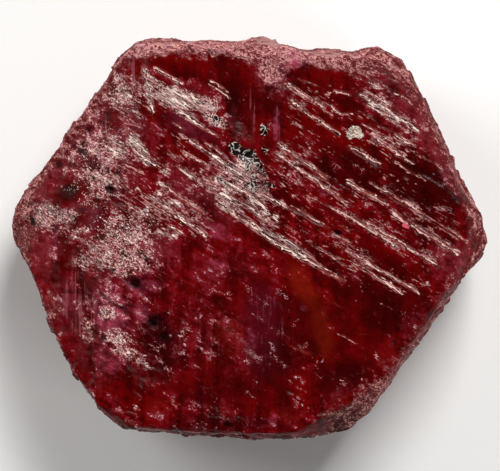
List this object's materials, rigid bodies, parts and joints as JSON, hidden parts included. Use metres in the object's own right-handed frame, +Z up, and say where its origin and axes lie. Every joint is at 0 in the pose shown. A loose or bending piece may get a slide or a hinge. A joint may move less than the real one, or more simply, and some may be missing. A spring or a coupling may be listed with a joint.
{
  "type": "raw ruby crystal",
  "caption": "Rough six-sided tabular ruby crystal with a ledged, striated flat face, bevelled rim and pitted sides, lying on its flat basal face as a collector's specimen",
  "frame": {"origin": "middle of the outline at the level of the flat face that the crystal rests on", "axes": "+Z up, out of the ledged face; +X across the crystal from its west corner to its east corner; +Y across two of its parallel sides"},
  "size_m": [0.034, 0.029, 0.013],
  "materials": {
    "raw_ruby": "natural rough corundum: dark glassy red where it is sound, frosted mauve-pink on the rim and on broken ledges"
  },
  "bodies": {
    "root": {"ruby_crystal": "raw_ruby"}
  },
  "joints": []
}
